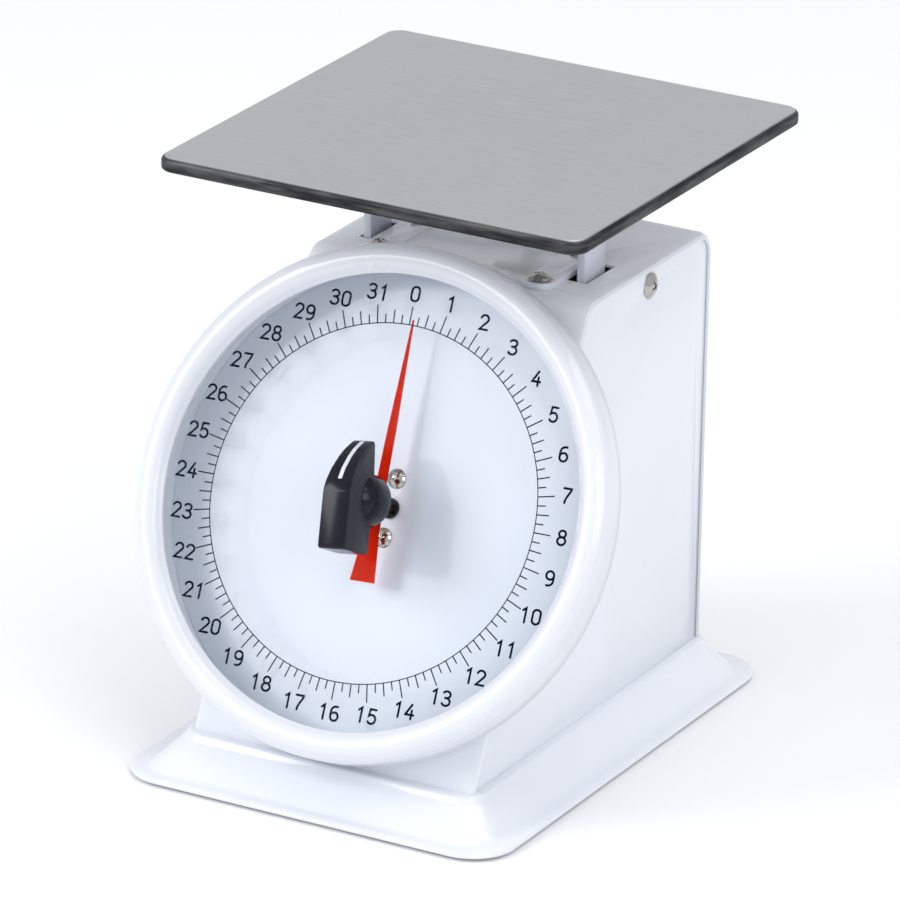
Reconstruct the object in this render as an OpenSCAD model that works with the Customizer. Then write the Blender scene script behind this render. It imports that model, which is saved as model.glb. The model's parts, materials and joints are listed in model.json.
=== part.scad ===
// Mechanical dial platform scale. Millimetres, +Z up, dial facing -Y.
// Origin: middle of the base footprint, on the surface the feet stand on.

/* [Base] */
// Width of the base flange, left to right
base_width = 136.1; // [130:0.1:150]
// Depth of the base flange, front to back
base_depth = 186.6; // [180:0.1:200]
// Height of the base plateau the housing stands on
base_height = 13.7; // [12:0.1:16]
// Corner radius of the base flange
base_corner = 15; // [8:0.5:20]
// Sheet thickness of the base
base_sheet = 1.1; // [0.8:0.1:1.5]

/* [Housing] */
// Width of the housing
body_width = 101.2; // [100.8:0.1:102]
// Height of the housing's top face
body_top = 154.2; // [153.8:0.1:154.6]
// Sheet thickness of the housing
body_sheet = 1; // [0.8:0.1:1.2]
// Lean of the dial from the vertical, degrees
dial_tilt = 26.4; // [26:0.1:27]

/* [Dial] */
// Radius of the clear opening in the bezel
opening_r = 72.1; // [71:0.1:73]
// Outside radius of the bezel
bezel_r = 81.8; // [81.5:0.1:83]
// Thickness of the clear turning dial
lens_t = 1.6; // [1.2:0.1:2]
// Length of the pointer from the centre to its tip
pointer_long = 58.7; // [54:0.1:60]
// Length of the pointer's tail
pointer_tail = 24.5; // [20:0.5:30]

/* [Knob] */
// Width of the knob's grip
knob_width = 9.3; // [8:0.1:11]
// Radius of the knob's round boss
knob_boss_r = 8.7; // [7.5:0.1:9.5]

/* [Platform] */
// Side of the square weighing platform
platform_side = 150; // [146:0.5:152]
// Height of the platform's top face
platform_top = 195.4; // [195.3:0.1:198]
// Depth of the platform's turned-down edge
platform_lip = 4.6; // [4:0.1:8]
// Width of each strip of the cross bracket
cross_width = 21; // [18:0.5:26]

/* [Mechanism] */
// Outside radius of the spring wire coil, to the wire's centre
spring_r = 6; // [5.6:0.1:6.4]
// Spring wire thickness
spring_wire = 1.5; // [1.2:0.1:1.6]
// Working turns of each spring
spring_turns = 15; // [10:1:18]
// Pinion teeth
pinion_teeth = 12; // [12:1:12]
// Radius of the pinion's pitch circle
pinion_r = 2.4; // [2.4:0.1:2.4]
// Length of the check links, pivot to pivot
link_long = 44; // [43.5:0.1:44.5]

/* [Hidden] */
$fn = 48;
dial_c = [0, -51.2, 93.1];
platform_c = [0, 16.4, 0];
front_y = -73.8;
back_y = 78;
lean = tan(dial_tilt);
front_top_y = front_y + (body_top - base_height) * lean;
half_w = body_width / 2;
face_n = -15;
post_y0 = 11.6;
post_y1 = 25.3;
post_x0 = 37;
post_x1 = 39.8;
stem_y = 18;
frame_y = stem_y + link_long;
spring_x = 29;
spring_y = 45;
spring_lo = 53;
spring_hi = 122;
rack_pin_w = 30;
rack_n = -29;
rack_pin_y = dial_c[1] + rack_pin_w * sin(dial_tilt) - rack_n * cos(dial_tilt);
rack_pin_z = dial_c[2] + rack_pin_w * cos(dial_tilt) + rack_n * sin(dial_tilt);
foot_x = 42;
foot_y0 = -58;
foot_y1 = 62;
screw_plate_x = 28.7;
screw_plate_y0 = 3;
screw_plate_y1 = 31;

// ---------- helpers ----------

module slab(w, d, r, z0, z1, cy = 0) {
  translate([0, cy, z0]) linear_extrude(z1 - z0)
    offset(r = r, $fn = 32) square([w - 2 * r, d - 2 * r], center = true);
}

module box(x0, x1, y0, y1, z0, z1) {
  translate([x0, y0, z0]) cube([x1 - x0, y1 - y0, z1 - z0]);
}

// x right, y up the dial, z out of the dial towards the reader
module on_dial() {
  translate(dial_c) rotate([90 - dial_tilt, 0, 0]) children();
}

module both_sides() {
  children();
  mirror([1, 0, 0]) children();
}

module dome_head(r, h) {
  k = (r * r + h * h) / (2 * h);
  intersection() {
    cylinder(r = r, h = h);
    translate([0, 0, h - k]) sphere(r = k, $fn = 48);
  }
}

// a domed screw with a cross recess, head outwards along +z, seat at z = 0
module dome_screw(r, h, shank_r, shank) {
  difference() {
    union() {
      dome_head(r, h);
      translate([0, 0, -shank]) cylinder(r = shank_r, h = shank + 0.2);
    }
    for (a = [0, 90]) rotate([0, 0, a + 20])
      translate([-r * 0.42, -r * 0.09, h * 0.45]) cube([r * 0.84, r * 0.18, h]);
  }
}

// side outline of the housing in y, z, drawn in by a distance
module outline(inset) {
  intersection() {
    offset(r = 7, $fn = 48) offset(delta = -7 - inset)
      polygon([[front_y - 20 * lean, base_height - 20], [front_top_y, body_top],
        [back_y, body_top], [back_y, base_height - 20]]);
    translate([-150, base_height]) square([300, 200]);
  }
}

module prism(inset, w) {
  rotate([90, 0, 90]) translate([0, 0, -w / 2]) linear_extrude(w) outline(inset);
}

// a coil along z from z0 to z1
module coil(z0, z1, r, wire, turns) {
  steps = 10 * turns;
  sides = 5;
  lead = (z1 - z0 - wire) / steps;
  pts = [for (i = [0 : steps]) for (j = [0 : sides - 1])
    let (a = i * 360 * turns / steps, b = j * 360 / sides, q = r + wire / 2 * cos(b))
    [q * cos(a), q * sin(a), z0 + wire / 2 + i * lead + wire / 2 * sin(b)]];
  walls = [for (i = [0 : steps - 1]) for (j = [0 : sides - 1])
    let (k = (j + 1) % sides)
    [i * sides + j, (i + 1) * sides + j, (i + 1) * sides + k, i * sides + k]];
  first = [for (j = [0 : sides - 1]) j];
  last = [for (j = [sides - 1 : -1 : 0]) steps * sides + j];
  polyhedron(pts, concat(walls, [first], [last]), convexity = 10);
}

// ---------- base ----------

module base_pan() {
  color("white") difference() {
    union() {
      slab(base_width, base_depth, base_corner, 1, 2.6);
      hull() {
        slab(base_width - 12, base_depth - 12, base_corner - 4, 2.4, 2.5);
        slab(106, 158, 7, base_height - 0.1, base_height, 2);
      }
    }
    hull() {
      slab(base_width - 14.6, base_depth - 14.6, base_corner - 5, 0.9, 1);
      slab(103.8, 155.8, 6, base_height - base_sheet - 0.1, base_height - base_sheet, 2);
    }
    both_sides() for (y = [foot_y0, foot_y1])
      translate([foot_x, y, 5]) cylinder(r = 1.8, h = 20);
  }
}

module rubber_feet() {
  color("dimgray") both_sides() for (y = [foot_y0, foot_y1]) translate([foot_x, y, 0])
    difference() {
      cylinder(r1 = 7.5, r2 = 6.5, h = base_height - base_sheet);
      translate([0, 0, -1]) cylinder(r = 1.8, h = 20);
      translate([0, 0, -1]) cylinder(r = 3.6, h = 4.5);
    }
}

module foot_screws() {
  color("silver") both_sides() for (y = [foot_y0, foot_y1]) translate([foot_x, y, 3.5])
    rotate([180, 0, 0]) dome_screw(3.2, 1.6, 1.6, 12.6);
}

module foot_nuts() {
  color("silver") both_sides() for (y = [foot_y0, foot_y1])
    translate([foot_x, y, base_height]) difference() {
      cylinder(r = 3.4, h = 2.2, $fn = 6);
      translate([0, 0, -1]) cylinder(r = 1.65, h = 5);
    }
}

// ---------- housing ----------

module plate_screw_spots() {
  both_sides() for (y = [screw_plate_y0, screw_plate_y1])
    translate([screw_plate_x, y, 0]) children();
}

module housing_shell() {
  color("white") difference() {
    hull() {
      prism(0, body_width - 5);
      prism(0.4, body_width - 1.4);
      prism(1.4, body_width);
    }
    prism(body_sheet, body_width - 2 * body_sheet);
    prism(1.7, body_width + 10);
    box(-30, 30, back_y - 30, back_y + 5, 24, 138);
    both_sides() box(31.5, 41, 10.9, 29.8, body_top - 6, body_top + 2);
    plate_screw_spots() translate([0, 0, body_top - 6]) cylinder(r = 1.7, h = 10);
    translate([0, spring_y, body_top - 6]) cylinder(r = 3.2, h = 10);
    both_sides() for (z = [30, 132]) translate([36, back_y + 5, z])
      rotate([90, 0, 0]) cylinder(r = 1.5, h = 12);
    on_dial() {
      translate([0, 0, face_n - 10]) cylinder(r = 3.3, h = 20);
      for (y = [-9.45, 9.45]) translate([0, y, face_n - 10]) cylinder(r = 1.7, h = 20);
      for (x = [-16, 16]) translate([x, 0, face_n - 10]) cylinder(r = 1.5, h = 20);
    }
  }
}

module side_panel() {
  difference() {
    union() {
      translate([half_w - 2.1, 0, 0]) rotate([90, 0, 90]) linear_extrude(1) outline(1.1);
      hull() {
        translate([half_w - 1.6, 0, 0]) rotate([90, 0, 90]) linear_extrude(0.2) outline(1.9);
        translate([half_w - 0.8, 0, 0]) rotate([90, 0, 90]) linear_extrude(0.2) outline(4.2);
      }
      hull() {
        translate([half_w - 0.8, 38, 80]) rotate([90, 0, 90]) linear_extrude(0.2)
          offset(r = 8, $fn = 32) square([46, 104], center = true);
        translate([half_w + 0.2, 38, 80]) rotate([90, 0, 90]) linear_extrude(0.2)
          offset(r = 6, $fn = 32) square([45, 103], center = true);
      }
    }
    hull() {
      translate([half_w - 2.4, 38, 80]) rotate([90, 0, 90]) linear_extrude(0.2)
        offset(r = 7, $fn = 32) square([45, 103], center = true);
      translate([half_w - 0.8, 38, 80]) rotate([90, 0, 90]) linear_extrude(0.2)
        offset(r = 5, $fn = 32) square([44, 102], center = true);
    }
    translate([half_w - 5, 36.7, 147.3]) rotate([0, 90, 0]) cylinder(r = 1.7, h = 10);
  }
}

module side_panel_right() {
  color("white") side_panel();
}

module side_panel_left() {
  color("white") mirror([1, 0, 0]) side_panel();
}

module side_screws() {
  color("silver") both_sides() translate([half_w - 0.6, 36.7, 147.3])
    rotate([0, 90, 0]) dome_screw(4.3, 2, 1.6, 4);
}

module rear_cover() {
  color("white") difference() {
    translate([0, back_y, 81]) rotate([-90, 0, 0]) linear_extrude(body_sheet)
      offset(r = 4, $fn = 32) square([76, 112], center = true);
    both_sides() for (z = [30, 132]) translate([36, back_y + 5, z])
      rotate([90, 0, 0]) cylinder(r = 1.5, h = 12);
  }
}

module rear_screws() {
  color("silver") both_sides() for (z = [30, 132])
    translate([36, back_y + body_sheet, z]) rotate([-90, 0, 0]) dome_screw(3.4, 1.8, 1.4, 5);
}

module top_plate() {
  color("white") difference() {
    slab(68.6, 37.6, 5, body_top, body_top + 1.8, 16.8);
    slab(66, 35, 4, body_top - 1, body_top + 0.8, 16.8);
    slab(48, 24, 7, body_top + 1.4, body_top + 3, 17);
    plate_screw_spots() translate([0, 0, body_top - 2]) cylinder(r = 1.7, h = 10);
  }
}

module top_plate_screws() {
  color("silver") plate_screw_spots()
    translate([0, 0, body_top + 1.8]) dome_screw(4.5, 2, 1.6, 6);
}

// ---------- dial case ----------

module dial_case() {
  color("white") on_dial() difference() {
    rotate_extrude($fn = 96) polygon([[0, face_n], [76.8, face_n], [79.2, face_n + 1],
      [80.3, face_n + 3.2], [80.3, -1], [79.3, -1], [79.3, face_n + 3.5],
      [78.5, face_n + 1.8], [76.6, face_n + 1], [0, face_n + 1]]);
    translate([0, 0, face_n - 5]) cylinder(r = 3.3, h = 20);
    for (y = [-9.45, 9.45]) translate([0, y, face_n - 5]) cylinder(r = 1.7, h = 20);
  }
}

module backing_plate() {
  color("white") on_dial() difference() {
    translate([0, 0, face_n + 1]) cylinder(r = 76.4, h = 0.5, $fn = 96);
    translate([0, 0, face_n - 5]) cylinder(r = 3.3, h = 20);
    for (y = [-9.45, 9.45]) translate([0, y, face_n - 5]) cylinder(r = 1.7, h = 20);
  }
}

module case_screws() {
  color("silver") on_dial() for (y = [-9.45, 9.45])
    translate([0, y, face_n + 1.5]) dome_screw(3.25, 1.7, 1.6, 5);
}

module bezel() {
  color("white") on_dial() rotate_extrude($fn = 96)
    polygon([[opening_r, 1.15], [opening_r, 2.2], [opening_r + 0.5, 3.2],
      [opening_r + 1.7, 4.2], [opening_r + 3.5, 4.9], [bezel_r - 4.2, 4.9],
      [bezel_r - 2.4, 4.2], [bezel_r - 1, 2.9], [bezel_r - 0.2, 1.2], [bezel_r, -0.5],
      [bezel_r, -8.4], [80.4, -8.4], [80.4, -0.5], [80.1, 0.8], [79.3, 2],
      [78.2, 2.9], [77, 3.4], [75.9, 3.4], [74.9, 3], [74, 2.2], [73.6, 1.15]]);
}

module retaining_ring() {
  color("white") on_dial() translate([0, 0, -3.4]) difference() {
    cylinder(r = 79.2, h = 2.1, $fn = 96);
    translate([0, 0, -1]) cylinder(r = 75.2, h = 5, $fn = 96);
  }
}

module arbor_bushing() {
  color("dimgray") on_dial() difference() {
    translate([0, 0, face_n - 2.4]) cylinder(r = 3.2, h = 5);
    translate([0, 0, face_n - 5]) cylinder(r = 1.56, h = 20);
  }
}

module pinion_bracket() {
  color("silver") on_dial() difference() {
    union() {
      box(-12, 12, -12, 12, -39.5, -38);
      both_sides() box(10.5, 12, -12, 12, -39, face_n - 1.1);
      both_sides() box(10.5, 21, -12, 12, face_n - 2.6, face_n - 1.1);
    }
    translate([0, 0, -45]) cylinder(r = 0.96, h = 20);
    for (x = [-16, 16]) translate([x, 0, face_n - 5]) cylinder(r = 1.5, h = 10);
  }
}

module bracket_screws() {
  color("silver") on_dial() for (x = [-16, 16])
    translate([x, 0, face_n - 2.6]) rotate([180, 0, 0]) dome_screw(2.8, 1.5, 1.4, 2.5);
}

module rack_guide() {
  color("ivory") on_dial() box(6.3, 10.5, -10, -4, -33, -25);
}

// ---------- mechanism frame ----------

module mechanism_frame() {
  color("silver") difference() {
    union() {
      box(-20.5, 20.5, 29, 72, base_height, base_height + 1.5);
      both_sides() box(19, 20.5, 29, 72, base_height, 112);
      box(-20.5, 20.5, 70.5, 72, base_height, 50);
      both_sides() box(20, 23, 29, 72, base_height, base_height + 1.5);
    }
    for (z = [62, 100]) translate([-30, frame_y, z]) rotate([0, 90, 0])
      cylinder(r = 1.5, h = 60);
  }
}

module frame_pins() {
  color("silver") for (z = [62, 100]) translate([-22, frame_y, z]) rotate([0, 90, 0]) {
    cylinder(r = 1.5, h = 44);
    translate([0, 0, 42.5]) cylinder(r = 2.4, h = 1.5);
    cylinder(r = 2.4, h = 1.5);
  }
}

module dashpot_cylinder() {
  color("silver") translate([0, stem_y, base_height]) difference() {
    cylinder(r = 10, h = 22);
    translate([0, 0, 1.5]) cylinder(r = 9, h = 30);
  }
}

// ---------- carriage ----------

module post_right() {
  color("white") box(post_x0, post_x1, post_y0, post_y1, 112, platform_top - 2.8);
}

module post_left() {
  color("white") mirror([1, 0, 0])
    box(post_x0, post_x1, post_y0, post_y1, 112, platform_top - 2.8);
}

module carriage_crossbar() {
  color("silver") {
    box(-post_x1, post_x1, post_y0, post_y1, 109, 112);
    both_sides() box(post_x0 - 1.5, post_x0, post_y0, post_y1, 111, 122);
  }
}

module carriage_stem() {
  color("silver") difference() {
    box(-6, 6, stem_y - 3, stem_y + 3, 48, 109);
    for (z = [62, 100]) translate([-30, stem_y, z]) rotate([0, 90, 0])
      cylinder(r = 1.5, h = 60);
    translate([0, stem_y, 40]) cylinder(r = 1.5, h = 14);
  }
}

module spring_yoke() {
  color("silver") {
    difference() {
      box(-34, 34, stem_y - 5, stem_y + 5, 50, 52);
      box(-6, 6, stem_y - 3, stem_y + 3, 45, 60);
    }
    both_sides() {
      box(24, 34, stem_y + 5, spring_y + 7, 50, 52);
      translate([spring_x, spring_y, 50]) cylinder(r = 4.4, h = 6);
    }
  }
}

module carriage_pins() {
  color("silver") for (z = [62, 100]) translate([-17.5, stem_y, z]) rotate([0, 90, 0])
    cylinder(r = 1.5, h = 35);
}

module rack_arm() {
  color("silver") difference() {
    union() {
      box(7, 9, rack_pin_y - 3, post_y1 - 2, 104.4, 109);
      box(7, 13.5, post_y0, post_y1 - 2, 107.5, 109);
    }
    translate([0, rack_pin_y, rack_pin_z - 0.3]) rotate([0, 90, 0])
      cylinder(r = 1.2, h = 20);
  }
}

module rack_pin() {
  color("silver") translate([1.6, rack_pin_y, rack_pin_z - 0.3]) rotate([0, 90, 0])
    cylinder(r = 1.2, h = 8.4);
}

module dashpot_piston() {
  color("silver") translate([0, stem_y, 0]) {
    translate([0, 0, 30]) cylinder(r = 8.6, h = 3);
    translate([0, 0, 30]) cylinder(r = 1.5, h = 24);
  }
}

// ---------- check links ----------

module link(z) {
  difference() {
    union() {
      both_sides() {
        translate([14, frame_y, z]) rotate([0, 90, 0]) cylinder(r = 4, h = 1.5);
        box(14, 15.5, stem_y - 6.5, frame_y, z - 4, z + 4);
      }
      box(-15.5, 15.5, 30, 50, z - 0.75, z + 0.75);
    }
    translate([-30, frame_y, z]) rotate([0, 90, 0]) cylinder(r = 1.56, h = 60);
    box(-30, 30, stem_y - 4.1, stem_y + 1.85, z - 1.85, z + 1.85);
    box(-5, 5, 36, 44, z - 5, z + 5);
  }
}

module upper_link() {
  color("silver") link(100);
}

module lower_link() {
  color("silver") link(62);
}

// ---------- rack and pointer ----------

tooth_pitch = 2 * PI * pinion_r / pinion_teeth;

module rack() {
  color("goldenrod") {
    on_dial() translate([0, 0, rack_n - 3]) linear_extrude(6) {
      translate([2.9, -7]) square([3.1, 34.5]);
      for (k = [-4 : 16]) translate([0, (k + 0.5) * tooth_pitch])
        polygon([[2.95, -0.34], [2.4, -0.22], [2.08, -0.13], [2.08, 0.13], [2.4, 0.22],
          [2.95, 0.34]]);
    }
    difference() {
      box(2.9, 6, rack_pin_y - 4.5, rack_pin_y + 11.5, rack_pin_z - 4.2, rack_pin_z + 3.6);
      box(0, 10, rack_pin_y, rack_pin_y + 7.4, rack_pin_z - 1.8, rack_pin_z + 1.2);
      for (y = [0, 7.4]) translate([0, rack_pin_y + y, rack_pin_z - 0.3])
        rotate([0, 90, 0]) cylinder(r = 1.5, h = 10);
    }
  }
}

module arbor() {
  color("goldenrod") on_dial() {
    translate([0, 0, -37.2]) cylinder(r = 1.5, h = 31.2);
    translate([0, 0, -41]) cylinder(r = 0.9, h = 4);
    translate([0, 0, -6.2]) cylinder(r = 1, h = 3);
    translate([0, 0, -33.5]) linear_extrude(9)
      polygon([for (i = [0 : pinion_teeth - 1]) for (p = [[1.85, -8.5], [2.4, -5.4],
        [2.75, -3.2], [2.75, 3.2], [2.4, 5.4], [1.85, 8.5]])
        let (a = i * 360 / pinion_teeth + p[1]) [p[0] * cos(a), p[0] * sin(a)]]);
  }
}

module pointer() {
  color("red") on_dial() rotate([0, 0, 2.7]) translate([0, 0, -4.6]) difference() {
    linear_extrude(0.4) {
      polygon([[-0.22, pointer_long], [-1.45, 24], [-1.75, 8], [-2.1, 0], [-2.6, -9],
        [-4.3, -pointer_tail], [4.3, -pointer_tail], [2.6, -9], [2.1, 0], [1.75, 8],
        [1.45, 24], [0.22, pointer_long]]);
      circle(r = 3.6);
    }
    translate([0, 0, -1]) cylinder(r = 1.9, h = 3);
  }
}

module pointer_hub() {
  color("goldenrod") on_dial() difference() {
    union() {
      translate([0, 0, -6]) cylinder(r = 3.3, h = 1.4);
      translate([0, 0, -5]) cylinder(r = 1.9, h = 1.7);
    }
    translate([0, 0, -10]) cylinder(r = 1, h = 20);
  }
}

// ---------- turning dial ----------

module turning_dial() {
  color("lightcyan", 0.5) on_dial() difference() {
    translate([0, 0, -lens_t / 2]) cylinder(r = 78, h = lens_t, $fn = 96);
    translate([0, 0, -5]) cylinder(r = 1.5, h = 10);
  }
}

module grip_outline() {
  offset(r = 1.2, $fn = 24) offset(delta = -1.2)
    polygon([[-17.4, 8], [-17.4, 24], [0.5, 24.4], [4, 23.4], [8, 21.3], [12, 18],
      [15, 14.7], [17.4, 11], [18.6, 8.6], [18.6, 8]]);
}

// the grip's outline stands up from the dial, y along the grip, z outwards
module grip(inset, w) {
  rotate([90, 0, 90]) translate([0, 0, -w / 2]) linear_extrude(w)
    offset(delta = -inset) grip_outline();
}

// the grip narrows from the boss to its tip
module tapered_grip() {
  intersection() {
    grip(0, knob_width);
    linear_extrude(40) polygon([[-knob_width, -20], [knob_width, -20],
      [knob_width / 2, 2], [knob_width * 0.33, 20], [-knob_width * 0.33, 20],
      [-knob_width / 2, 2]]);
  }
}

// the boss is round, with a domed front
module domed_boss() {
  rotate_extrude($fn = 64) polygon(concat([[0, 3.5], [knob_boss_r, 3.5]],
    [for (a = [0 : 10 : 90]) [knob_boss_r * cos(a), 8 + 9 * sin(a)]]));
}

module line_strip() {
  intersection() {
    difference() {
      grip(-0.05, 1.3);
      grip(0.4, 3);
    }
    box(-2, 2, 4.5, 17.8, 9.5, 30);
  }
}

module knob() {
  color([0.09, 0.09, 0.1]) on_dial() rotate([0, 0, 8.3]) difference() {
    union() {
      tapered_grip();
      translate([0, 0, lens_t / 2]) cylinder(r = 4, h = 5);
      domed_boss();
    }
    line_strip();
    translate([0, 0, -1]) cylinder(r = 1.5, h = 12);
  }
}

module knob_line() {
  color("white") on_dial() rotate([0, 0, 8.3]) line_strip();
}

module knob_screw() {
  color("silver") on_dial() {
    translate([0, 0, -lens_t / 2 - 1.3]) cylinder(r = 3, h = 1.3);
    translate([0, 0, -lens_t / 2 - 0.1]) cylinder(r = 1.45, h = 10);
  }
}

// ---------- zero adjustment and springs ----------

module zero_nut() {
  color("goldenrod") translate([0, spring_y, body_top + 0.3]) difference() {
    linear_extrude(5) polygon([for (i = [0 : 47])
      let (q = i % 2 == 0 ? 8.6 : 8.1) [q * cos(i * 7.5), q * sin(i * 7.5)]]);
    translate([0, 0, -1]) cylinder(r = 2.56, h = 10);
  }
}

module spring_hanger() {
  color("silver") {
    box(-34, 34, spring_y - 5, spring_y + 5, spring_hi + 0.3, spring_hi + 2.8);
    translate([0, spring_y, spring_hi + 1]) cylinder(r = 2.5, h = 44);
    both_sides() translate([spring_x, spring_y, spring_hi - 4]) cylinder(r = 4.4, h = 5);
  }
}

module spring_right() {
  color("silver") translate([spring_x, spring_y, 0])
    coil(spring_lo, spring_hi, spring_r, spring_wire, spring_turns);
}

module spring_left() {
  color("silver") translate([-spring_x, spring_y, 0])
    coil(spring_lo, spring_hi, spring_r, spring_wire, spring_turns);
}

// ---------- platform ----------

module platform_tray() {
  side = platform_side;
  color("gainsboro") translate([0, platform_c[1], 0]) difference() {
    hull() {
      slab(side, side, 6, platform_top - platform_lip, platform_top - 2);
      slab(side - 1.2, side - 1.2, 5.4, platform_top - 0.7, platform_top - 0.6);
      slab(side - 4, side - 4, 4, platform_top - 0.1, platform_top);
    }
    slab(side - 2, side - 2, 5, platform_top - platform_lip - 1, platform_top - 2);
    slab(side - 4.6, side - 4.6, 4, platform_top - 3, platform_top - 1);
  }
}

module cross_bracket() {
  z1 = platform_top - 1;
  color("gainsboro") translate([0, platform_c[1], 0]) {
    box(-65, 65, -cross_width / 2, cross_width / 2, z1 - 1.5, z1);
    box(-cross_width / 2, cross_width / 2, -65, 65, z1 - 1.5, z1);
  }
}

module post_sockets() {
  z1 = platform_top - 2.5;
  color("gainsboro") both_sides() difference() {
    box(post_x0 - 1.6, post_x1 + 1.6, post_y0 - 1.6, post_y1 + 1.6, z1 - 8, z1);
    box(post_x0 - 0.4, post_x1 + 0.4, post_y0 - 0.4, post_y1 + 0.4, z1 - 12, z1 + 2);
  }
}

// ---------- nodes ----------

base_pan();
rubber_feet();
foot_screws();
foot_nuts();
housing_shell();
side_panel_right();
side_panel_left();
side_screws();
rear_cover();
rear_screws();
top_plate();
top_plate_screws();
dial_case();
backing_plate();
case_screws();
bezel();
retaining_ring();
arbor_bushing();
pinion_bracket();
bracket_screws();
rack_guide();
mechanism_frame();
frame_pins();
dashpot_cylinder();
post_right();
post_left();
carriage_crossbar();
carriage_stem();
spring_yoke();
carriage_pins();
rack_arm();
rack_pin();
dashpot_piston();
upper_link();
lower_link();
rack();
arbor();
pointer();
pointer_hub();
turning_dial();
knob();
knob_line();
knob_screw();
zero_nut();
spring_hanger();
spring_right();
spring_left();
platform_tray();
cross_bracket();
post_sockets();
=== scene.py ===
import json
import math
import bmesh
import bpy
from mathutils import Matrix, Vector

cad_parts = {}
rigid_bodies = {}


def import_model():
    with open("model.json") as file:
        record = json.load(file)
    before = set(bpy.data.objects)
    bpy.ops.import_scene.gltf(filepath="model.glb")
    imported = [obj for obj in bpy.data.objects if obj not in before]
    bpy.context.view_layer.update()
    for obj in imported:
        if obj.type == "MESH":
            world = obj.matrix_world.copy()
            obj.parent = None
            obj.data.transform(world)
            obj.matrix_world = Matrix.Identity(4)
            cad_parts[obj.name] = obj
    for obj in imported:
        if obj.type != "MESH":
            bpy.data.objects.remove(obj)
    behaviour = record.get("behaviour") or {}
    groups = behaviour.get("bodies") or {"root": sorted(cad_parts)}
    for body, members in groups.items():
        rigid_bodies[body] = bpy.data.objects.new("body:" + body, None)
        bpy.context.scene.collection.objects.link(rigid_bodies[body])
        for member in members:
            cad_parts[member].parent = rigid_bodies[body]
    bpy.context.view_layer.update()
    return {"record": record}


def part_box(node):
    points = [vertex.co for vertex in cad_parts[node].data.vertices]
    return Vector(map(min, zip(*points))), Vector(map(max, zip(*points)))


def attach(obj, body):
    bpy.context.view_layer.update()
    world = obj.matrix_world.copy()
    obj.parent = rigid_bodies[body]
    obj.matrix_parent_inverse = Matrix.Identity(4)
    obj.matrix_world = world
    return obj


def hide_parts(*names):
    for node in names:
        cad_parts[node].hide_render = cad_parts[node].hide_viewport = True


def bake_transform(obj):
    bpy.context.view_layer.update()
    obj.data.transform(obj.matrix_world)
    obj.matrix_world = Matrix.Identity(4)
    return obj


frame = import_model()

MM = 0.001
# the middle of the dial, and how far the dial leans back
DIAL_AT, TILT = Vector((0, -51.2, 93.1)), math.radians(26.4)
DIAL = Matrix.Translation(DIAL_AT * MM) @ Matrix.Rotation(math.pi / 2 - TILT, 4, "X")

# ---------- camera and light ----------


def link(o):
    bpy.context.scene.collection.objects.link(o)
    return o


CAMERA_AT = (1.18923, -2.16328, 1.05813)
CAMERA_ANGLES = (28.81, 21.34, -1.14)  # azimuth, elevation, roll
LENS, SENSOR = 335.7, 36


def make_camera():
    az, el, roll = (math.radians(a) for a in CAMERA_ANGLES)
    back = Vector((math.sin(az) * math.cos(el), -math.cos(az) * math.cos(el), math.sin(el)))
    right = Vector((math.cos(az), math.sin(az), 0))
    up = back.cross(right)
    c, s = math.cos(roll), math.sin(roll)
    r2, u2 = right * c - up * s, right * s + up * c
    cam = link(bpy.data.objects.new("camera", bpy.data.cameras.new("camera")))
    cam.data.lens, cam.data.sensor_width = LENS, SENSOR
    cam.data.clip_end = 50
    m = Matrix((r2, u2, back)).transposed().to_4x4()
    m.translation = CAMERA_AT
    cam.matrix_world = m
    bpy.context.scene.camera = cam


make_camera()


def area(name, loc, height, size, watts):
    """A square soft light, aimed at a height above the middle of the floor."""
    d = bpy.data.lights.new(name, "AREA")
    d.shape, d.size, d.energy = "SQUARE", size, watts
    o = link(bpy.data.objects.new(name, d))
    o.location = loc
    o.rotation_euler = (Vector((0, 0, height)) - Vector(loc)).to_track_quat("-Z", "Y").to_euler()


area("key", (-1.4, -1.5, 1.3), 0.1, 1.2, 22)
area("fill", (1.6, -1.0, 1.2), 0.12, 1.0, 7.5)
area("top", (0.5, 0.1, 1.9), 0.1, 1.5, 13)
world = bpy.data.worlds.new("world")
bpy.context.scene.world = world
world.use_nodes = True
sky = world.node_tree.nodes["Background"]
sky.inputs[0].default_value = (0.95, 0.965, 1, 1)
sky.inputs[1].default_value = 0.76
bpy.context.scene.view_settings.view_transform = "Standard"

# ---------- node helpers ----------


class S:
    """A node's output that can be added, multiplied and so on."""

    def __init__(self, nodes, out):
        self.nodes, self.out = nodes, out

    def op(self, kind, *rest):
        return self.nodes.node("ShaderNodeMath", {"operation": kind}, (self, *rest))

    def __add__(self, v):
        return self.op("ADD", v)

    def __sub__(self, v):
        return self.op("SUBTRACT", v)

    def __mul__(self, v):
        return self.op("MULTIPLY", v)

    def __truediv__(self, v):
        return self.op("DIVIDE", v)

    __radd__, __rmul__ = __add__, __mul__

    def __rsub__(self, v):
        return (self * -1.0) + v

    def smooth(self, a, b):
        """0 before a and 1 after b, turning smoothly between them."""
        soft = {"interpolation_type": "SMOOTHSTEP"}
        return self.nodes.node("ShaderNodeMapRange", soft, (self, a, b))


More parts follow.
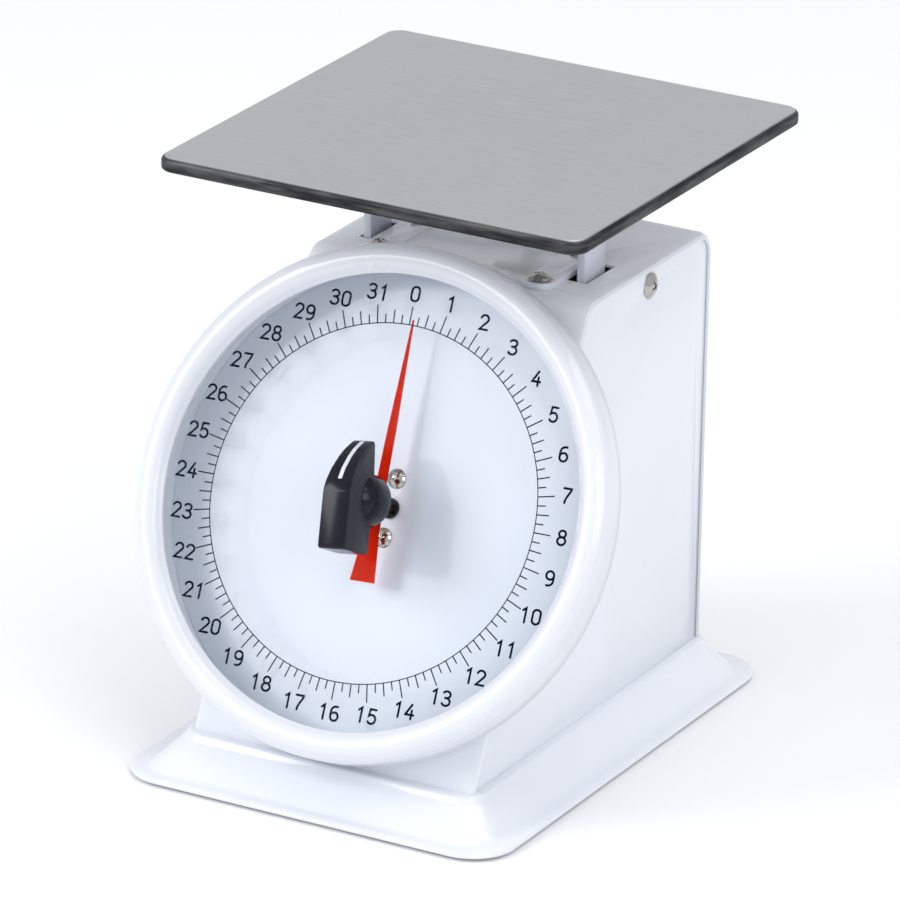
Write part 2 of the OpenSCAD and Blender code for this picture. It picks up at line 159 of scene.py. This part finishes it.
class Nodes:
    """A node tree in which every node is made by one method."""

    def __init__(self, tree):
        self.t = tree

    def put(self, socket, v):
        if isinstance(v, S):
            self.t.links.new(v.out, socket)
        else:
            socket.default_value = v

    def node(self, kind, settings=None, values=(), out=0, **named):
        """A node: its type, its settings, then values or links for its sockets.

        values go by number, as a list from the first socket or a dict; the rest go by name."""
        n = self.t.nodes.new(kind)
        for k, v in (settings or {}).items():
            setattr(n, k, v)
        for i, v in values.items() if isinstance(values, dict) else enumerate(values):
            self.put(n.inputs[i], v)
        for k, v in named.items():
            self.put(n.inputs[k.replace("_", " ")], v)
        return S(self, n.outputs[out]) if n.outputs else None

    def vec(self, x=0.0, y=0.0, z=0.0):
        return self.node("ShaderNodeCombineXYZ", X=x, Y=y, Z=z)


class Mat(Nodes):
    """A material on a Principled shader."""

    def __init__(self, name, color, **more):
        self.m = bpy.data.materials.new(name)
        self.m.use_nodes = True
        super().__init__(self.m.node_tree)
        self.b = self.t.nodes["Principled BSDF"]
        self.set("Base Color", (*color, 1))
        for k, v in more.items():
            self.set(k.replace("_", " "), v)

    def set(self, name, v):
        self.put(self.b.inputs[name], v)

    def coord(self, scale=(1, 1, 1)):
        at = self.node("ShaderNodeTexCoord", out="Object")
        return self.node("ShaderNodeMapping", Vector=at, Scale=scale)

    def axis(self, i):
        return self.node("ShaderNodeSeparateXYZ", values=(self.coord(),), out=i)

    def noise(self, scale, detail=3.0, stretch=(1, 1, 1), rough=0.5):
        return self.node("ShaderNodeTexNoise", Vector=self.coord(stretch), Scale=scale,
                         Detail=detail, Roughness=rough)

    def mix(self, fac, a, b):
        a, b = ((*v, 1) if isinstance(v, tuple) else v for v in (a, b))
        return self.node("ShaderNodeMix", {"data_type": "RGBA"}, {0: fac, 6: a, 7: b}, 2)

    def bump(self, height, strength, dist):
        self.set("Normal", self.node("ShaderNodeBump", Strength=strength, Distance=dist,
                                     Height=height))


# ---------- materials ----------


def enamel(name, color, rough, peel=0.25):
    """Gloss paint with a faint orange peel."""
    m = Mat(name, color, Coat_Weight=0.35, Coat_Roughness=0.06)
    blotch = m.noise(22, 4)
    darker = tuple(c * 0.972 for c in color)
    m.set("Base Color", m.mix(blotch.smooth(0.3, 0.75), color, darker))
    m.set("Roughness", rough + (m.noise(60, 5) - 0.5) * 0.16)
    m.bump(m.noise(420, 2) + m.noise(2600, 1) * 0.25, peel, 0.00006)
    return m.m


def metal(name, color, rough, stretch=(1, 1, 1), scale=900, depth=0.12, swing=0.2):
    """Metal with a fine grain; swing is how much the grain changes its roughness."""
    m = Mat(name, color, Metallic=1.0)
    grain = m.noise(scale, 4, stretch, 0.6)
    soft = m.noise(28, 3)
    m.set("Roughness", rough + (grain - 0.5) * swing + (soft - 0.5) * 0.1)
    darker = tuple(c * 0.93 for c in color)
    m.set("Base Color", m.mix(grain.smooth(0.25, 0.75), darker, color))
    m.bump(grain, depth, 0.00005)
    return m.m


white = enamel("white enamel", (0.80, 0.83, 0.885), 0.2)
white_plastic = enamel("white plastic", (0.74, 0.765, 0.82), 0.24, 0.12)
# the white enamel made darker for the posts: painted shade
post_painted_shade = enamel("post enamel", (0.6, 0.63, 0.71), 0.24, 0.2)
dial_white = enamel("backing white", (0.7, 0.745, 0.81), 0.4, 0.1)
zinc = metal("plated steel", (0.62, 0.63, 0.66), 0.34, scale=500)
wire = metal("spring steel", (0.42, 0.43, 0.45), 0.32, scale=700)
bright = metal("bright screw", (0.5, 0.485, 0.45), 0.17, scale=700, depth=0.06, swing=0.1)
alu = metal("aluminium", (0.75, 0.76, 0.78), 0.38, (1, 1, 0.05))
brass = metal("brass", (0.78, 0.6, 0.28), 0.28, scale=600)
plated_brass = metal("plated brass", (0.5, 0.49, 0.46), 0.3, scale=600)


def tray_steel():
    """Brushed sheet; where it rolls over at the edge it is duller, and darker by a painted dark
    reflection.
    """
    m = Mat("stainless brushed", (0.6, 0.6, 0.59), Metallic=1.0)
    low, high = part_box("platform_tray")
    top, half, mid = high[2], high[0], (low[1] + high[1]) / 2
    grain = m.noise(2600, 4, (0.03, 1, 1), 0.6)
    cloud = m.noise(9, 3)
    fleck = m.noise(700, 2)
    out = m.axis(0).op("ABSOLUTE").op("MAXIMUM", (m.axis(1) - mid).op("ABSOLUTE"))
    rim = out.smooth(half - 0.004, half - 0.0025)
    # the rolled edge near the sides: rougher, and the place of the painted dark reflection
    rolled = m.axis(2).smooth(top - 0.00004, top - 0.0006) * rim
    brushed = m.mix(grain.smooth(0.3, 0.7), (0.57, 0.575, 0.57), (0.66, 0.665, 0.655))
    face = m.mix(cloud.smooth(0.35, 0.7) * 0.3, brushed, (0.69, 0.69, 0.68))
    # painted dark reflection on the rolled edge, near black with streaks
    reflection_streak = m.noise(60, 3, (1, 1, 9)).smooth(0.35, 0.7)
    edge = m.mix(reflection_streak, (0.03, 0.03, 0.032), (0.1, 0.1, 0.1))
    m.set("Base Color", m.mix(rolled, face, edge))
    m.set("Roughness", 0.34 + (grain - 0.5) * 0.14 + (fleck - 0.5) * 0.06 + rolled * 0.14)
    m.bump(grain, 0.14, 0.00005)
    return m.m


steel_x = tray_steel()


def plain(name, color, rough, scale, depth, vary=0.9, shine=0.5):
    """Plastic, rubber or paint; vary is how dark its mottling goes, shine its specular level."""
    m = Mat(name, color, Specular_IOR_Level=shine)
    n = m.noise(scale, 4)
    m.set("Base Color", m.mix(n.smooth(0.3, 0.7), color, tuple(c * vary for c in color)))
    m.set("Roughness", rough + (m.noise(scale * 0.4, 3) - 0.5) * 0.2)
    m.bump(n, depth, 0.0001)
    return m.m


black = plain("black plastic", (0.004, 0.006, 0.012), 0.16, 300, 0.05, 0.7, 0.28)
rubber = plain("rubber", (0.02, 0.02, 0.021), 0.75, 500, 0.4)
nylon = plain("nylon", (0.78, 0.76, 0.68), 0.5, 300, 0.15)
red = plain("red paint", (0.62, 0.018, 0.004), 0.5, 200, 0.1, 0.88, 0.0)
ink = plain("navy ink", (0.003, 0.011, 0.028), 0.6, 400, 0.1, 0.8, 0.0)


def clear_plastic():
    """Clear at the front and a little glossy at a slant."""
    m = Mat("clear plastic", (1, 1, 1))
    gloss = m.node("ShaderNodeBsdfGlossy", Roughness=0.03 + m.noise(40) * 0.03)
    through = m.node("ShaderNodeBsdfTransparent", Color=(0.985, 0.99, 1, 1))
    slant = m.node("ShaderNodeFresnel", IOR=1.3) * 0.1
    mixed = m.node("ShaderNodeMixShader", values=(slant, through, gloss))
    m.put(m.t.nodes["Material Output"].inputs["Surface"], mixed)
    return m.m


clear = clear_plastic()

NODE_MATERIALS = {
    white: "base_pan housing_shell side_panel_right side_panel_left rear_cover top_plate "
           "dial_case",
    post_painted_shade: "post_right post_left",
    white_plastic: "bezel retaining_ring knob_line",
    dial_white: "backing_plate",
    zinc: "foot_screws foot_nuts pinion_bracket bracket_screws mechanism_frame frame_pins "
          "carriage_crossbar carriage_stem spring_yoke carriage_pins rack_arm rack_pin "
          "upper_link lower_link spring_hanger post_sockets",
    bright: "side_screws rear_screws top_plate_screws case_screws knob_screw",
    wire: "spring_right spring_left",
    alu: "dashpot_cylinder",
    brass: "rack arbor pointer_hub",
    plated_brass: "zero_nut",
    nylon: "rack_guide dashpot_piston",
    black: "arbor_bushing knob",
    rubber: "rubber_feet",
    red: "pointer",
    clear: "turning_dial",
    steel_x: "platform_tray cross_bracket",
}
for mat, names in NODE_MATERIALS.items():
    for n in names.split():
        o = bpy.data.objects[n]
        o.data.materials.clear()
        o.data.materials.append(mat)

# ---------- mesh helpers ----------


def mesh_of(name, verts, faces):
    """A mesh with shared corners and outward faces."""
    me = bpy.data.meshes.new(name)
    me.from_pydata(verts, [], faces)
    bm = bmesh.new()
    bm.from_mesh(me)
    bmesh.ops.remove_doubles(bm, verts=bm.verts, dist=1e-7)
    bmesh.ops.recalc_face_normals(bm, faces=bm.faces)
    bm.to_mesh(me)
    bm.free()
    return me


def add(name, verts, faces, mat, body, swaps, matrix=Matrix.Identity(4)):
    """A finished piece from corners in millimetres."""
    me = mesh_of(name, [matrix @ (Vector(v) * MM) for v in verts], faces)
    me.materials.append(mat)
    o = link(bpy.data.objects.new(name, me))
    soften(o)
    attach(o, body)
    if swaps:
        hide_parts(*swaps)
    return o


def soften(o, angle=32):
    """Shades the object smooth, apart from edges sharper than the angle."""
    me = o.data
    me.polygons.foreach_set("use_smooth", [True] * len(me.polygons))
    bm = bmesh.new()
    bm.from_mesh(me)
    for e in bm.edges:
        e.smooth = len(e.link_faces) == 2 and e.calc_face_angle(0) < math.radians(angle)
    bm.to_mesh(me)
    bm.free()


def lathe(name, profile, mat, body, swaps=(), seg=192, matrix=DIAL):
    """A ring: a closed outline of radii and heights, turned round z."""
    n = len(profile)
    turns = [2 * math.pi * k / seg for k in range(seg)]
    verts = [(r * math.cos(a), r * math.sin(a), z) for a in turns for r, z in profile]
    faces = []
    for k in range(seg):
        m = (k + 1) % seg
        for i in range(n):
            j = (i + 1) % n
            faces.append((k * n + i, m * n + i, m * n + j, k * n + j))
    return add(name, verts, faces, mat, body, swaps, matrix)


def rounded_outline(w, d, r, n=10):
    """A rectangle with round corners, n steps to a corner."""
    out = []
    for cx, cy, a0 in ((1, 1, 0), (-1, 1, 90), (-1, -1, 180), (1, -1, 270)):
        for i in range(n + 1):
            a = math.radians(a0 + 90 * i / n)
            out.append((cx * (w / 2 - r) + r * math.cos(a), cy * (d / 2 - r) + r * math.sin(a)))
    return out


def loft(name, sections, mat, body, swaps):
    """A closed skin over sections, each a width, depth, corner radius, height and middle y."""
    loops = [[(x, y + cy, z) for x, y in rounded_outline(w, d, r)] for w, d, r, z, cy in sections]
    n, rows = len(loops[0]), len(loops)
    faces = [(k * n + i, k * n + (i + 1) % n, (k + 1) * n + (i + 1) % n, (k + 1) * n + i)
             for k in range(rows - 1) for i in range(n)]
    faces.append(tuple(range(n - 1, -1, -1)))
    faces.append(tuple((rows - 1) * n + i for i in range(n)))
    return add(name, [p for loop in loops for p in loop], faces, mat, body, swaps)


def oval(cx, cy, rx, ry, a0=0, a1=360, n=28):
    """Points along an ellipse, between two angles in degrees."""
    return [(cx + rx * math.cos(math.radians(a0 + (a1 - a0) * i / n)),
             cy + ry * math.sin(math.radians(a0 + (a1 - a0) * i / n))) for i in range(n + 1)]


def arc(cx, cy, r, a0, a1, n):
    return oval(cx, cy, r, r, a0, a1, n)


def settle(o, name):
    """The object with its modifiers applied, as a plain mesh in its place."""
    now = bpy.context.evaluated_depsgraph_get()
    me = bpy.data.meshes.new_from_object(o.evaluated_get(now))
    me.name = name
    new = link(bpy.data.objects.new(name, me))
    bpy.data.objects.remove(o)
    return new


BODY_OF = {n: b for b, ns in frame["record"]["behaviour"]["bodies"].items() for n in ns}
SAME_POINT, FLAT, SHARP = 2e-6, math.radians(0.8), math.radians(30)


def rounded(node, width, seg):
    """A node's shape with its sharp edges rounded over, standing for the node."""
    o = link(bpy.data.objects.new(node + "_copy", bpy.data.objects[node].data.copy()))
    bm = bmesh.new()
    bm.from_mesh(o.data)
    bmesh.ops.remove_doubles(bm, verts=bm.verts, dist=SAME_POINT)
    bmesh.ops.dissolve_limit(bm, angle_limit=FLAT, verts=bm.verts, edges=bm.edges)
    bm.to_mesh(o.data)
    bm.free()
    mod = o.modifiers.new("round", "BEVEL")
    mod.width, mod.segments = width * MM, seg
    mod.limit_method, mod.angle_limit = "ANGLE", SHARP
    mod.use_clamp_overlap = True
    new = settle(o, node + "_finished")
    soften(new, 40)
    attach(new, BODY_OF[node])
    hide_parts(node)


# ---------- geometry node helpers ----------


class Tree(Nodes):
    """A Geometry Nodes tree with named inputs, ending in Realize Instances and Set Material."""

    KINDS = {"i": "NodeSocketInt", "f": "NodeSocketFloat", "o": "NodeSocketObject",
             "m": "NodeSocketMaterial"}

    def __init__(self, name, **inputs):
        super().__init__(bpy.data.node_groups.new(name, "GeometryNodeTree"))
        face = self.t.interface
        for way in ("INPUT", "OUTPUT"):
            face.new_socket("Geometry", in_out=way, socket_type="NodeSocketGeometry")
        self.ids = {}
        for key, kind in {**inputs, "Material": "m"}.items():
            label = key.replace("_", " ")
            socket = face.new_socket(label, in_out="INPUT", socket_type=self.KINDS[kind])
            self.ids[label] = socket.identifier

    def arg(self, label):
        return self.node("NodeGroupInput", out=label)

    def end(self, geometry):
        real = self.node("GeometryNodeRealizeInstances", Geometry=geometry)
        done = self.node("GeometryNodeSetMaterial", Geometry=real, Material=self.arg("Material"))
        self.node("NodeGroupOutput", Geometry=done)
        return self

    def grow(self, name, mat, mesh=None, **values):
        """An object made by the tree with its inputs set, as a plain mesh."""
        o = link(bpy.data.objects.new(name, mesh or bpy.data.meshes.new(name)))
        mod = o.modifiers.new("grow", "NODES")
        mod.node_group = self.t
        for label, v in {**values, "Material": mat}.items():
            mod[self.ids[label.replace("_", " ")]] = v
        return settle(o, name)


def place(o, matrix):
    o.data.transform(matrix)
    return o


def join(name, parts, mat, body, swaps=()):
    """One piece from several made in the same frame."""
    bm = bmesh.new()
    for p in parts:
        bm.from_mesh(p.data)
        bpy.data.objects.remove(p)
    me = bpy.data.meshes.new(name)
    bm.to_mesh(me)
    bm.free()
    me.materials.append(mat)
    me.polygons.foreach_set("material_index", [0] * len(me.polygons))
    o = link(bpy.data.objects.new(name, me))
    soften(o)
    if body:
        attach(o, body)
    if swaps:
        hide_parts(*swaps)
    return o


# ---------- bezel ----------
# an outline of radii and heights: rolled inner edge, round front, outer wall, inside
BEZEL = [(72.1, 1.2), (72.15, 2.0)] + arc(76.9, 0.35, 4.6, 150, 40, 20)[1:]
BEZEL += arc(78.4, 0.6, 3.4, 55, 0, 10)[1:]
BEZEL += [(81.8, -2), (81.8, -7.9), (81.5, -8.4), (80.4, -8.4), (80.4, -0.5)]
BEZEL += arc(77.4, -0.3, 3.2, 10, 80, 8) + [(75.9, 3.3), (74.2, 2.3), (73.6, 1.2)]
lathe("bezel_ring", BEZEL, white_plastic, "housing", ["bezel"])

# ---------- platform tray ----------


ROLL, ROLL_IN, CORNER = 2.0, 4.2, 6  # the tray's rolled edge, and its corners


def tray():
    low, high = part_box("platform_tray")
    side, cy, top = (high[0] - low[0]) / MM, (low[1] + high[1]) / 2 / MM, high[2] / MM
    # each section: how far in from the side, corner radius, how far below the top
    secs = []
    for a in range(0, 91, 10):
        s, c = math.sin(math.radians(a)), math.cos(math.radians(a))
        secs.append((ROLL_IN * (1 - s), CORNER - 1.8 * (1 - s), ROLL - ROLL * c))
    secs += [(0, 6, 3.6), (0.25, 5.9, 4.25), (0.9, 5.6, 4.6), (1.6, 5.2, 4.25), (1.8, 5.1, 3.6),
             (1.8, 5.1, 2.2), (2.4, 4.9, 1.3), (4.6, 4.2, 1.0)]
    loft("tray_body", [(side - i, side - i, r, top - down, cy) for i, r, down in secs],
         steel_x, "platform", ["platform_tray"])


tray()

# ---------- base pan ----------
# width, depth, corner radius, height, middle y; from the middle of the top, down and round
RIM = [(104.2, 156.2, 6.2, 13.7, 2), (105.4, 157.4, 6.8, 13.45, 2), (106.3, 158.3, 7.2, 12.8, 1.9)]
FLANGE = [(124.4, 175.6, 12.0, 3.15, 0.1), (127, 177.6, 12.6, 2.7, 0), (130, 180.6, 13.4, 2.6, 0),
          (134.6, 185.1, 14.5, 2.55, 0), (135.7, 186.2, 14.9, 2.3, 0), (136.1, 186.6, 15, 1.8, 0)]
BELOW = [(135.7, 186.2, 14.9, 1.2, 0), (134.6, 185.1, 14.6, 1.0, 0), (124, 175, 11.5, 1.0, 0),
         (121.8, 173, 11, 1.6, 0), (105, 157, 6.6, 11.9, 1.9), (103, 155.4, 6, 12.6, 2)]


def base():
    slope = []
    for i in range(9):
        f = i / 8
        w = 106.9 + (122.5 - 106.9) * f
        slope.append((w, w - 106.9 + 158.8, 7.5 + 4 * f, 12.0 - 8.2 * f, 1.8 - 1.6 * f))
    loft("base_shell", RIM + slope + FLANGE + BELOW, white, "housing", ["base_pan"])


base()

# ---------- edges rounded over, by how many millimetres ----------
EDGES = {"housing_shell": 0.14, "side_panel_right": 0.1, "side_panel_left": 0.1, "rear_cover": 0.3,
         "top_plate": 0.4, "post_right": 0.35, "post_left": 0.35, "post_sockets": 0.25,
         "cross_bracket": 0.3, "zero_nut": 0.3, "knob": 1.0, "pinion_bracket": 0.3,
         "mechanism_frame": 0.3, "rubber_feet": 0.4}
for node, width in EDGES.items():
    rounded(node, width, 3 if node == "knob" else 2)

# ---------- screws ----------


def dome(seg=32, steps=10):
    """A domed head of unit radius on a short shank, as corners and faces."""
    high, foot, shank = 0.46, -1.1, 0.36
    k = (1 + high * high) / (2 * high)
    top = math.asin(1 / k)
    prof = [(k * math.sin(top * i / steps), high - k + k * math.cos(top * i / steps))
            for i in range(1, steps)]
    prof += [(1.0, 0.05), (0.97, 0.0), (shank, 0.0), (shank, foot)]
    around = [2 * math.pi * j / seg for j in range(seg)]
    verts = [(0, 0, high)] + [(r * math.cos(a), r * math.sin(a), z) for r, z in prof
                              for a in around] + [(0, 0, foot)]
    last, faces = len(verts) - 1, []
    for j in range(seg):
        m = (j + 1) % seg
        faces.append((0, 1 + j, 1 + m))
        for i in range(len(prof) - 1):
            a = 1 + i * seg
            faces.append((a + j, a + seg + j, a + seg + m, a + m))
        faces.append((last - seg + j, last, last - seg + m))
    return verts, faces


def recess(turn):
    """One arm of the cross, narrower at its floor."""
    cut = bmesh.new()
    bmesh.ops.create_cube(cut, size=1)
    for v in cut.verts:
        wide, z = (1.0, 0.6) if v.co.z > 0 else (0.45, 0.16)
        v.co = Vector((v.co.x * 1.1 * wide, v.co.y * 0.17 * wide, z))
    me = bpy.data.meshes.new("cut")
    cut.to_mesh(me)
    cut.free()
    me.transform(Matrix.Rotation(math.radians(turn), 4, "Z"))
    return link(bpy.data.objects.new("cut", me))


def screw_head():
    """A domed cross-recess screw of unit head radius, head outwards along z."""
    verts, faces = dome()
    me = bpy.data.meshes.new("head")
    me.from_pydata(verts, [], faces)
    o = link(bpy.data.objects.new("head", me))
    for turn in (20, 110):
        cutter = recess(turn)
        mod = o.modifiers.new("recess", "BOOLEAN")
        mod.operation, mod.solver, mod.object = "DIFFERENCE", "EXACT", cutter
        o = settle(o, "head")
        bpy.data.objects.remove(cutter)
    return o


def screw_tree():
    t = Tree("screws at seats", Head="o", Head_Radius="f")
    head = t.node("GeometryNodeObjectInfo", out="Geometry", Object=t.arg("Head"))
    turn = t.node("GeometryNodeInputNamedAttribute", {"data_type": "FLOAT_VECTOR"}, Name="turn")
    euler = t.node("FunctionNodeEulerToRotation", Euler=turn)
    r = t.arg("Head Radius")
    placed = t.node("GeometryNodeInstanceOnPoints", Points=t.arg("Geometry"),
                    Instance=head, Rotation=euler, Scale=t.vec(r, r, r))
    return t.end(placed)


def screws(tree, head, name, node, radius, seats):
    """Screws at seats, each a place in millimetres and the way its head faces."""
    me = bpy.data.meshes.new(name)
    me.from_pydata([Vector(p) * MM for p, _ in seats], [], [])
    turn = me.attributes.new("turn", "FLOAT_VECTOR", "POINT")
    for i, (_, way) in enumerate(seats):
        turn.data[i].vector = Vector((0, 0, 1)).rotation_difference(Vector(way)).to_euler()
    o = tree.grow(name, bright, me, Head=head, Head_Radius=radius * MM)
    soften(o, 30)
    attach(o, BODY_OF[node])
    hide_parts(node)


def all_screws():
    head, tree = screw_head(), screw_tree()
    up, out = (0, 0, 1), DIAL.to_3x3() @ Vector((0, 0, 1))
    seat = [tuple(DIAL @ (Vector((0, y, -13.5)) * MM) / MM) for y in (-9.45, 9.45)]
    screws(tree, head, "top_screws", "top_plate_screws", 4.5,
           [((x, y, 156.0), up) for x in (-28.7, 28.7) for y in (3, 31)])
    screws(tree, head, "side_screw_pair", "side_screws", 4.3,
           [((s * 50.0, 36.7, 147.3), (s, 0, 0)) for s in (-1, 1)])
    screws(tree, head, "rear_screw_set", "rear_screws", 3.4,
           [((x, 79, z), (0, 1, 0)) for x in (-36, 36) for z in (30, 132)])
    screws(tree, head, "case_screw_pair", "case_screws", 3.25, [(p, out) for p in seat])
    bpy.data.objects.remove(head)


all_screws()

# ---------- coil springs ----------


COIL_X, COIL_Y, COIL_R, WIRE_R = 29, 45, 6, 0.75


def springs():
    t = Tree("coil spring", Turns="f", Coil_Radius="f", Wire_Radius="f", Height="f")
    wind = t.node("GeometryNodeCurveSpiral", Resolution=28, Rotations=t.arg("Turns"),
                  Start_Radius=t.arg("Coil Radius"), End_Radius=t.arg("Coil Radius"),
                  Height=t.arg("Height"))
    ring = t.node("GeometryNodeCurvePrimitiveCircle", Resolution=10, Radius=t.arg("Wire Radius"))
    t.end(t.node("GeometryNodeCurveToMesh", Curve=wind, Profile_Curve=ring, Fill_Caps=True))
    low, high = (z[2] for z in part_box("spring_right"))
    coils = []
    for side in (-1, 1):
        o = t.grow("coil", wire, Turns=15.0, Coil_Radius=COIL_R * MM, Wire_Radius=WIRE_R * MM,
                   Height=high - low - 2 * WIRE_R * MM)
        foot = (side * COIL_X * MM, COIL_Y * MM, low + WIRE_R * MM)
        coils.append(place(o, Matrix.Translation(foot)))
    pair = join("coil_springs", coils, wire, None, ["spring_right", "spring_left"])
    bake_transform(pair)


springs()

# ---------- printing on the turning dial ----------
# turned a little from upright, and just behind the dial's front
PRINT = DIAL @ Matrix.Rotation(math.radians(2.03), 4, "Z")
PRINT = PRINT @ Matrix.Translation((0, 0, -0.86 * MM))
TICK_IN, TICK_WIDE, FIGURE_R = 56.74, 0.4, 66.5
INK_T, MARKS = 0.05, 32


def print_ticks():
    t = Tree("ticks round a circle", Count="i", Inner="f", Length="f", Width="f",
             Thickness="f", First="f")
    at = t.node("GeometryNodeInputIndex")
    angle = t.arg("First") + at / t.arg("Count") * (2 * math.pi)
    mid = t.arg("Inner") + t.arg("Length") / 2.0
    dots = t.node("GeometryNodePoints", Count=t.arg("Count"),
                  Position=t.vec(mid * angle.op("SINE"), mid * angle.op("COSINE")))
    size = t.vec(t.arg("Width"), t.arg("Length"), t.arg("Thickness"))
    bar = t.node("GeometryNodeMeshCube", Size=size)
    turn = t.node("FunctionNodeEulerToRotation", Euler=t.vec(0.0, 0.0, angle * -1.0))
    t.end(t.node("GeometryNodeInstanceOnPoints", Points=dots, Instance=bar, Rotation=turn))
    step = 2 * math.pi / MARKS
    # wholes, halves and quarters: how many, how long, angle of the first
    kinds = ((MARKS, 5.72, 0.0), (MARKS, 4.2, step / 2), (2 * MARKS, 2.8, step / 4))
    rows = [t.grow("ticks", ink, Count=n, Inner=TICK_IN * MM, Length=long * MM,
                   Width=TICK_WIDE * MM, Thickness=INK_T * MM, First=first)
            for n, long, first in kinds]
    join("dial_ticks", [place(o, PRINT) for o in rows], ink, "dial")
    h, inner, outer = INK_T / 2, TICK_IN - 0.16, TICK_IN + 0.16
    lathe("dial_circle", [(inner, -h), (outer, -h), (outer, h), (inner, h)], ink, "dial",
          matrix=PRINT)


# each figure is a list of pen strokes in millimetres; a stroke that ends where it starts is closed
FIGURES = {
    "0": [oval(1.2, 3.3, 1.2, 1.2, 0, 180, 14) + oval(1.2, 1.2, 1.2, 1.2, 180, 360, 14)
          + [(2.4, 3.3)]],
    "1": [[(0.45, 3.7), (1.35, 4.5), (1.35, 0)]],
    "2": [oval(1.2, 3.3, 1.2, 1.2, 165, -30, 16) + [(0.05, 0.0), (2.45, 0.0)]],
    "3": [oval(1.1, 3.45, 1.15, 1.05, 150, -90, 18) + [(0.75, 2.4)],
          [(0.75, 2.4)] + oval(1.1, 1.2, 1.3, 1.2, 90, -150, 18)],
    "4": [[(1.6, 4.5), (0.0, 1.3), (2.5, 1.3)], [(1.8, 2.7), (1.8, 0)]],
    "5": [[(2.25, 4.5), (0.4, 4.5), (0.2, 2.35)] + oval(1.15, 1.4, 1.25, 1.4, 125, -145, 18)],
    "6": [oval(1.2, 1.3, 1.2, 1.3), [(0.0, 1.3)] + oval(1.5, 2.9, 1.5, 1.6, 180, 75, 10)],
    "7": [[(0.05, 4.5), (2.4, 4.5), (2.3, 3.9), (1.7, 2.6), (1.2, 1.5), (0.95, 0.7), (0.9, 0)]],
    "8": [oval(1.2, 3.42, 1.05, 1.05), oval(1.2, 1.2, 1.25, 1.2)],
    "9": [oval(1.2, 3.2, 1.2, 1.3), [(2.4, 3.2)] + oval(0.9, 1.6, 1.5, 1.6, 0, -105, 10)],
}
# half a stroke's width, from figure to figure, a figure's height and width, how much wider
PEN, PITCH, HIGH, NARROW, WIDE = 0.37, 4.0, 4.5, 2.4, 1.1


def pen(points, depth, verts, faces):
    """Adds one thin solid stroke with round ends."""
    closed = math.dist(points[0], points[-1]) < 1e-6
    pts = [Vector(p) for p in (points[:-1] if closed else points)]
    clean = [pts[0]]
    for p in pts[1:]:
        if (p - clean[-1]).length > 1e-4:
            clean.append(p)
    n = len(clean)
    left, right = [], []
    for i, p in enumerate(clean):
        back = (p - clean[i - 1]).normalized() if i or closed else None
        ahead = (clean[(i + 1) % n] - p).normalized() if i < n - 1 or closed else None
        back, ahead = back or ahead, ahead or back
        side = Vector((-(back + ahead).y, (back + ahead).x)).normalized()
        reach = PEN / max(0.45, side.dot(Vector((-back.y, back.x))))
        left.append(p + side * reach)
        right.append(p - side * reach)
    if closed:
        walls = [(left[i], left[(i + 1) % n], right[(i + 1) % n], right[i]) for i in range(n)]
        loops = [left, right]
    else:
        walls = [(left[i], left[i + 1], right[i + 1], right[i]) for i in range(n - 1)]
        cap = []
        for p, q in ((clean[-1], clean[-2]), (clean[0], clean[1])):
            way = math.atan2(*(p - q).yx)
            cap.append([p + PEN * Vector((math.cos(way + b), math.sin(way + b)))
                        for b in (math.pi / 2 - math.pi * j / 8 for j in range(1, 8))])
        walls += [(left[-1], *cap[0], right[-1]), (right[0], *cap[1], left[0])]
        loops = [left + cap[0] + right[::-1] + cap[1]]
    for wall in walls:
        for z in (0.0, depth):
            k = len(verts)
            verts.extend((v.x, v.y, z) for v in wall)
            faces.append(tuple(range(k, k + len(wall))))
    for lp in loops:
        m = len(lp)
        for i in range(m):
            a, b, k = lp[i], lp[(i + 1) % m], len(verts)
            verts.extend([(a.x, a.y, 0.0), (b.x, b.y, 0.0), (b.x, b.y, depth), (a.x, a.y, depth)])
            faces.append((k, k + 1, k + 2, k + 3))


def print_figures():
    parts = []
    for k in range(MARKS):
        a, text = math.radians(k * 360 / MARKS), str(k)
        x0 = FIGURE_R * math.sin(a) - (PITCH * (len(text) - 1) + NARROW * WIDE) / 2
        y0 = FIGURE_R * math.cos(a) - HIGH / 2
        for i, ch in enumerate(text):
            for j, path in enumerate(FIGURES[ch]):
                verts, faces = [], []
                pen([(x0 + PITCH * i + x * WIDE, y0 + y) for x, y in path], INK_T, verts, faces)
                me = mesh_of("stroke", [Vector(v) * MM for v in verts], faces)
                # a second stroke lies a little deeper, so the two don't share a face
                lift = Matrix.Translation((0, 0, -(INK_T / 2 + 0.012 * j) * MM))
                parts.append(place(link(bpy.data.objects.new("stroke", me)), PRINT @ lift))
    join("dial_figures", parts, ink, "dial")


print_ticks()
print_figures()

# ---------- floor ----------
HALF, BACK, BEND, WALL = 6, 3.2, 2.2, 6.0  # metres: the sheet's half width, bend and height


def floor():
    bend = [math.radians(a) for a in range(0, 91, 9)]
    prof = [(-6.0, 0.0)] + [(BACK + BEND * math.sin(a), BEND - BEND * math.cos(a)) for a in bend]
    prof.append((BACK + BEND, WALL))
    me = bpy.data.meshes.new("floor")
    me.from_pydata([(x, y, z) for y, z in prof for x in (-HALF, HALF)], [],
                   [(2 * i, 2 * i + 1, 2 * i + 3, 2 * i + 2) for i in range(len(prof) - 1)])
    me.polygons.foreach_set("use_smooth", [True] * len(me.polygons))
    me.materials.append(plain("floor", (0.88, 0.88, 0.885), 0.9, 6, 0.02, 0.99, 0.1))
    link(bpy.data.objects.new("floor", me))


floor()
